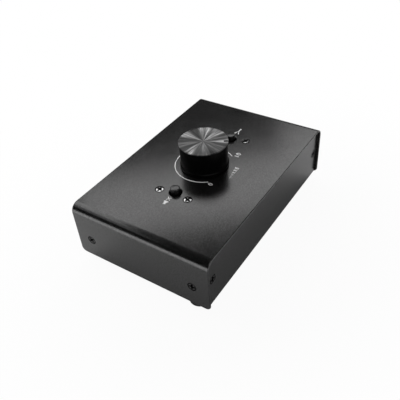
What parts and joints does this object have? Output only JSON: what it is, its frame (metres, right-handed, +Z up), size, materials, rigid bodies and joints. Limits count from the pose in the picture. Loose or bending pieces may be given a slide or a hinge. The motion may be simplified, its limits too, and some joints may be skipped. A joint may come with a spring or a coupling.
{
  "type": "passive volume controller",
  "caption": "Low black steel desk box with a large metal-capped volume dial and two push buttons on top, and audio sockets at the rear.",
  "frame": {"origin": "on the surface that the feet stand on, under the middle of the case, on the dial's axis", "axes": "+X along the front from the user's left to right, +Y to the rear, +Z up along the dial's axis"},
  "size_m": [0.15, 0.099, 0.0615],
  "materials": {
    "case_paint": "satin black fine-texture coat",
    "zinc_steel": "zinc-plated steel",
    "black_screw": "black oxide",
    "bright_screw": "nickel-plated, slightly scuffed",
    "foot_rubber": "moulded matte rubber",
    "knob_black": "satin black moulding",
    "knob_metal": "turned, radial glints",
    "brass": "machined",
    "phenolic": "paper phenolic",
    "white_plastic": "moulded",
    "button_black": "satin black moulding",
    "switch_black": "moulded",
    "board_green": "solder resist",
    "contact_metal": "tinned",
    "connector_metal": "black-plated die casting",
    "connector_black": "glass-filled moulding",
    "lead_jacket": "soft jacket"
  },
  "bodies": {
    "case": {"top_cover": "case_paint", "base_tray": "case_paint", "front_left_bracket": "zinc_steel", "front_right_bracket": "zinc_steel", "rear_left_bracket": "zinc_steel", "rear_right_bracket": "zinc_steel", "foot_screws": "zinc_steel", "foot_nuts": "zinc_steel", "pot_washer": "zinc_steel", "pot_nut": "zinc_steel", "board_screws": "zinc_steel", "connector_nuts": "zinc_steel", "pot_front_can": "zinc_steel", "pot_rear_can": "zinc_steel", "mute_spring": "zinc_steel", "mono_spring": "zinc_steel", "end_screws": "black_screw", "panel_screws": "black_screw", "connector_screws": "black_screw", "switch_screws": "bright_screw", "front_left_foot": "foot_rubber", "front_right_foot": "foot_rubber", "rear_left_foot": "foot_rubber", "rear_right_foot": "foot_rubber", "pot_bush": "brass", "switch_standoffs": "brass", "pot_front_track": "phenolic", "pot_rear_track": "phenolic", "mute_switch_case": "switch_black", "mono_switch_case": "switch_black", "mute_board": "board_green", "mono_board": "board_green", "pot_tags": "contact_metal", "switch_pins": "contact_metal", "input_left_contacts": "contact_metal", "input_right_contacts": "contact_metal", "output_left_pins": "contact_metal", "output_right_pins": "contact_metal", "input_left_shell": "connector_metal", "input_right_shell": "connector_metal", "output_left_shell": "connector_metal", "output_right_shell": "connector_metal", "input_left_core": "connector_black", "input_right_core": "connector_black", "output_left_insert": "connector_black", "output_right_insert": "connector_black", "input_leads": "lead_jacket", "link_leads": "lead_jacket", "output_leads": "lead_jacket"},
    "dial": {"knob_body": "knob_black", "knob_cap": "knob_metal", "knob_grub_screw": "black_screw", "pot_shaft": "zinc_steel", "pot_front_wiper": "white_plastic", "pot_rear_wiper": "white_plastic"},
    "mute": {"mute_button": "button_black", "mute_plunger": "white_plastic"},
    "mono": {"mono_button": "button_black", "mono_plunger": "white_plastic"}
  },
  "joints": [
    {"name": "volume_turn", "type": "hinge", "parent": "case", "child": "dial", "pos_m": [0, 0, 0.0435], "axis": [0, 0, 1], "range_deg": [0, 300]},
    {"name": "mute_press", "type": "slide", "parent": "case", "child": "mute", "axis": [0, 0, -1], "range_m": [0, 0.0025], "stiffness_N_per_m": 600, "springref_m": -0.002, "deforming": ["mute_spring"]},
    {"name": "mono_press", "type": "slide", "parent": "case", "child": "mono", "axis": [0, 0, -1], "range_m": [0, 0.0025], "stiffness_N_per_m": 600, "springref_m": -0.002, "deforming": ["mono_spring"]}
  ]
}
